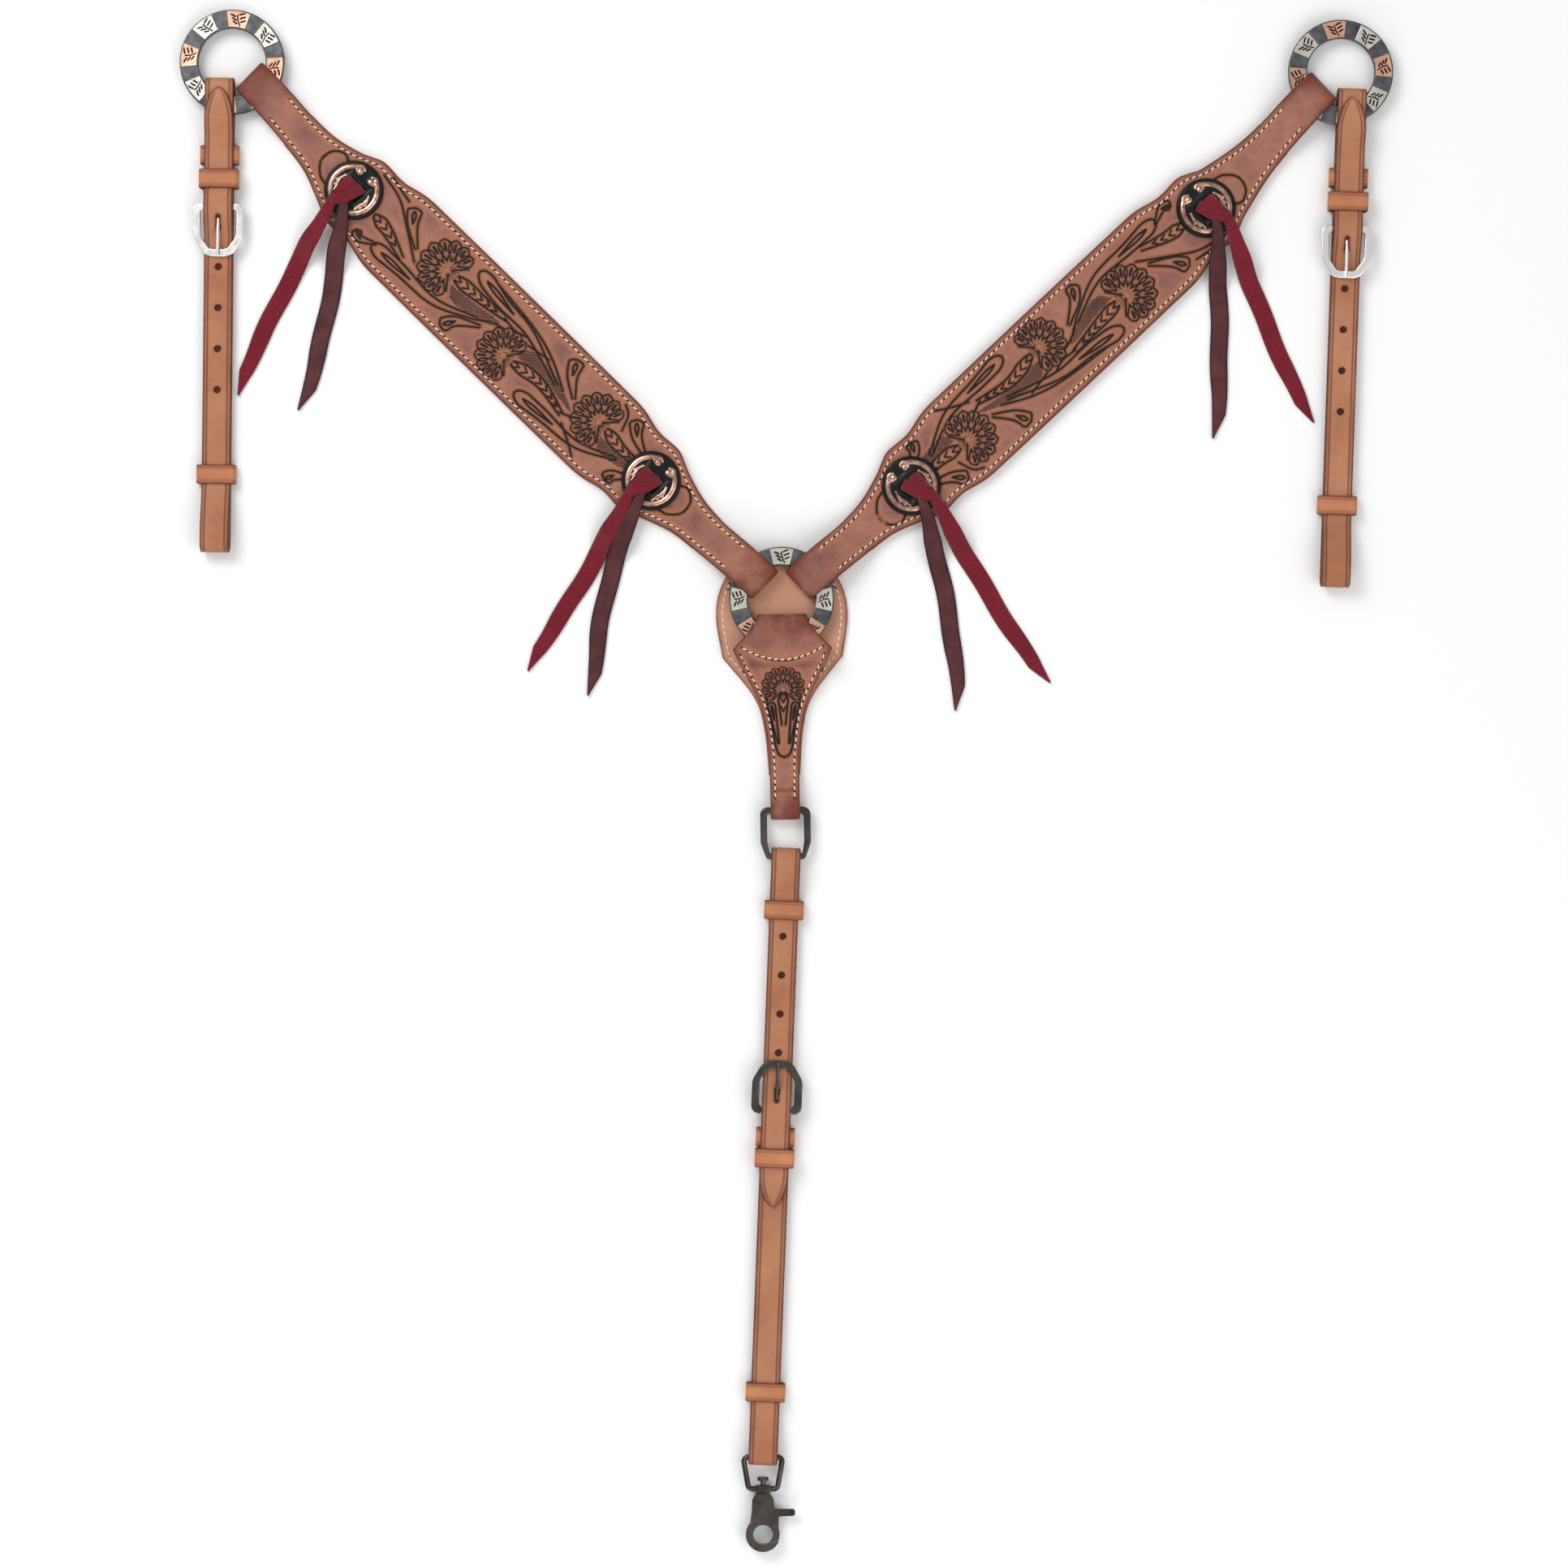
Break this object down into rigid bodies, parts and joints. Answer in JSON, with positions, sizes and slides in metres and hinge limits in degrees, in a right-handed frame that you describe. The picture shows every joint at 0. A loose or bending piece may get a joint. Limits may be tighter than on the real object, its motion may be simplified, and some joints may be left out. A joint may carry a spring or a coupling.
{
  "type": "western breastplate",
  "caption": "Western horse breast collar: two floral-tooled leather arms from a centre ring, buckled tugs on the shoulder rings, and a tie-down strap with a swivel snap.",
  "frame": {"origin": "middle of the collar's outline, on the surface that it lies on", "axes": "+Z out of the tooled side, +Y from the snap towards the shoulder rings, +X to the right seen from above"},
  "size_m": [0.792, 1.0066, 0.0153],
  "materials": {
    "tooled_leather": "floral tooled, semi-gloss top coat",
    "lining_leather": "smooth, matt",
    "strap_leather": "smooth, satin, with creased edges",
    "crimson_lace": "suede flesh side, matt",
    "dark_red_lace": "smooth grain side, satin",
    "ring_metal": "antiqued, engraved",
    "silver_panel": "engraved, antiqued",
    "copper_panel": "engraved copper, antiqued",
    "concho_metal": "black with raised copper scrolls",
    "nickel": "polished nickel plate",
    "gunmetal": "polished gunmetal plate"
  },
  "bodies": {
    "centre": {"backing_pad": "lining_leather", "centre_piece": "tooled_leather"},
    "centre_ring": {"centre_ring": "ring_metal", "centre_ring_silver_panels": "silver_panel", "centre_ring_copper_panels": "copper_panel"},
    "left_arm": {"left_arm_front": "tooled_leather", "left_arm_lining": "lining_leather", "left_upper_concho": "concho_metal", "left_upper_lace_knot": "dark_red_lace", "left_upper_lace_outer_tail": "crimson_lace", "left_upper_lace_inner_tail": "dark_red_lace", "left_lower_concho": "concho_metal", "left_lower_lace_knot": "dark_red_lace", "left_lower_lace_outer_tail": "crimson_lace", "left_lower_lace_inner_tail": "dark_red_lace"},
    "left_shoulder_ring": {"left_ring": "ring_metal", "left_ring_silver_panels": "silver_panel", "left_ring_copper_panels": "copper_panel"},
    "left_tug": {"left_tug_strap": "strap_leather", "left_tug_buckle_frame": "nickel", "left_tug_fixed_keeper": "strap_leather"},
    "left_tug_buckle_tongue": {"left_tug_buckle_tongue": "nickel"},
    "left_tug_upper_keeper": {"left_tug_upper_keeper": "strap_leather"},
    "left_tug_lower_keeper": {"left_tug_lower_keeper": "strap_leather"},
    "right_arm": {"right_arm_front": "tooled_leather", "right_arm_lining": "lining_leather", "right_upper_concho": "concho_metal", "right_upper_lace_knot": "dark_red_lace", "right_upper_lace_outer_tail": "crimson_lace", "right_upper_lace_inner_tail": "dark_red_lace", "right_lower_concho": "concho_metal", "right_lower_lace_knot": "dark_red_lace", "right_lower_lace_outer_tail": "crimson_lace", "right_lower_lace_inner_tail": "dark_red_lace"},
    "right_shoulder_ring": {"right_ring": "ring_metal", "right_ring_silver_panels": "silver_panel", "right_ring_copper_panels": "copper_panel"},
    "right_tug": {"right_tug_strap": "strap_leather", "right_tug_buckle_frame": "nickel", "right_tug_fixed_keeper": "strap_leather"},
    "right_tug_buckle_tongue": {"right_tug_buckle_tongue": "nickel"},
    "right_tug_upper_keeper": {"right_tug_upper_keeper": "strap_leather"},
    "right_tug_lower_keeper": {"right_tug_lower_keeper": "strap_leather"},
    "link": {"link": "gunmetal"},
    "tie_down": {"tie_down_strap": "strap_leather", "tie_down_buckle_frame": "gunmetal", "tie_down_fixed_keeper": "strap_leather"},
    "tie_down_buckle_tongue": {"tie_down_buckle_tongue": "gunmetal"},
    "tie_down_middle_keeper": {"tie_down_middle_keeper": "strap_leather"},
    "tie_down_upper_keeper": {"tie_down_upper_keeper": "strap_leather"},
    "tie_down_lower_keeper": {"tie_down_lower_keeper": "strap_leather"},
    "snap_bow": {"snap_bow": "gunmetal"},
    "snap_hook": {"snap_hook": "gunmetal", "snap_swivel_stud": "gunmetal", "snap_rivet": "gunmetal", "snap_gate_spring": "gunmetal"},
    "snap_gate": {"snap_gate": "gunmetal"}
  },
  "joints": [
    {"name": "centre_ring_spin", "type": "hinge", "parent": "centre", "child": "centre_ring", "pos_m": [-0.0032, 0.1185, 0.0089], "axis": [0, 0, 1], "continuous": true},
    {"name": "left_arm_swivel", "type": "hinge", "parent": "centre", "child": "left_arm", "pos_m": [-0.0032, 0.1185, 0.0089], "axis": [0, 0, 1], "range_deg": [-3, 25]},
    {"name": "left_ring_spin", "type": "hinge", "parent": "left_arm", "child": "left_shoulder_ring", "pos_m": [-0.36181, 0.46907, 0.007], "axis": [0, 0, 1], "continuous": true},
    {"name": "left_tug_swivel", "type": "hinge", "parent": "left_arm", "child": "left_tug", "pos_m": [-0.36181, 0.46907, 0.007], "axis": [0, 0, -1], "range_deg": [0, 200]},
    {"name": "left_tug_tongue_lift", "type": "hinge", "parent": "left_tug", "child": "left_tug_buckle_tongue", "pos_m": [-0.3706, 0.37456, 0.0077], "axis": [-0.9999, 0.0105, 0], "range_deg": [0, 1.5]},
    {"name": "left_tug_upper_keeper_slide", "type": "slide", "parent": "left_tug", "child": "left_tug_upper_keeper", "axis": [0.0105, 0.9999, 0], "range_m": [0, 0.003]},
    {"name": "left_tug_lower_keeper_slide", "type": "slide", "parent": "left_tug", "child": "left_tug_lower_keeper", "axis": [0.0105, 0.9999, 0], "range_m": [0, 0.12]},
    {"name": "right_arm_swivel", "type": "hinge", "parent": "centre", "child": "right_arm", "pos_m": [-0.0032, 0.1185, 0.0089], "axis": [0, 0, -1], "range_deg": [-3, 25]},
    {"name": "right_ring_spin", "type": "hinge", "parent": "right_arm", "child": "right_shoulder_ring", "pos_m": [0.36178, 0.46244, 0.007], "axis": [0, 0, 1], "continuous": true},
    {"name": "right_tug_swivel", "type": "hinge", "parent": "right_arm", "child": "right_tug", "pos_m": [0.36178, 0.46244, 0.007], "axis": [0, 0, 1], "range_deg": [0, 200]},
    {"name": "right_tug_tongue_lift", "type": "hinge", "parent": "right_tug", "child": "right_tug_buckle_tongue", "pos_m": [0.36601, 0.36023, 0.0077], "axis": [-0.9994, 0.0349, 0], "range_deg": [0, 1.5]},
    {"name": "right_tug_upper_keeper_slide", "type": "slide", "parent": "right_tug", "child": "right_tug_upper_keeper", "axis": [0.0349, 0.9994, 0], "range_m": [0, 0.003]},
    {"name": "right_tug_lower_keeper_slide", "type": "slide", "parent": "right_tug", "child": "right_tug_lower_keeper", "axis": [0.0349, 0.9994, 0], "range_m": [0, 0.12]},
    {"name": "link_fold", "type": "hinge", "parent": "centre", "child": "link", "pos_m": [-0.0008, -0.01928, 0.00625], "axis": [-0.9998, -0.0175, 0], "range_deg": [0, 90]},
    {"name": "tie_down_fold", "type": "hinge", "parent": "link", "child": "tie_down", "pos_m": [-0.00027, -0.04927, 0.00625], "axis": [-0.9993, 0.0384, 0], "range_deg": [0, 70]},
    {"name": "tie_down_tongue_lift", "type": "hinge", "parent": "tie_down", "child": "tie_down_buckle_tongue", "pos_m": [-0.00664, -0.21505, 0.0077], "axis": [0.9993, -0.0384, 0], "range_deg": [0, 1.5]},
    {"name": "tie_down_middle_keeper_slide", "type": "slide", "parent": "tie_down", "child": "tie_down_middle_keeper", "axis": [-0.0384, -0.9993, 0], "range_m": [0, 0.015]},
    {"name": "tie_down_upper_keeper_slide", "type": "slide", "parent": "tie_down", "child": "tie_down_upper_keeper", "axis": [-0.0384, -0.9993, 0], "range_m": [0, 0.08]},
    {"name": "tie_down_lower_keeper_slide", "type": "slide", "parent": "tie_down", "child": "tie_down_lower_keeper", "axis": [0.0384, 0.9993, 0], "range_m": [0, 0.1]},
    {"name": "snap_bow_fold", "type": "hinge", "parent": "tie_down", "child": "snap_bow", "pos_m": [-0.01535, -0.44168, 0.00585], "axis": [-1, 0, 0], "range_deg": [0, 110]},
    {"name": "snap_swivel", "type": "hinge", "parent": "snap_bow", "child": "snap_hook", "pos_m": [-0.01535, -0.46238, 0.00585], "axis": [0, -1, 0], "continuous": true},
    {"name": "snap_gate_open", "type": "hinge", "parent": "snap_hook", "child": "snap_gate", "pos_m": [-0.01535, -0.47298, 0.00585], "axis": [0, 0, -1], "range_deg": [0, 9], "stiffness_Nm_per_rad": 0.01, "springref_deg": -17.19}
  ]
}
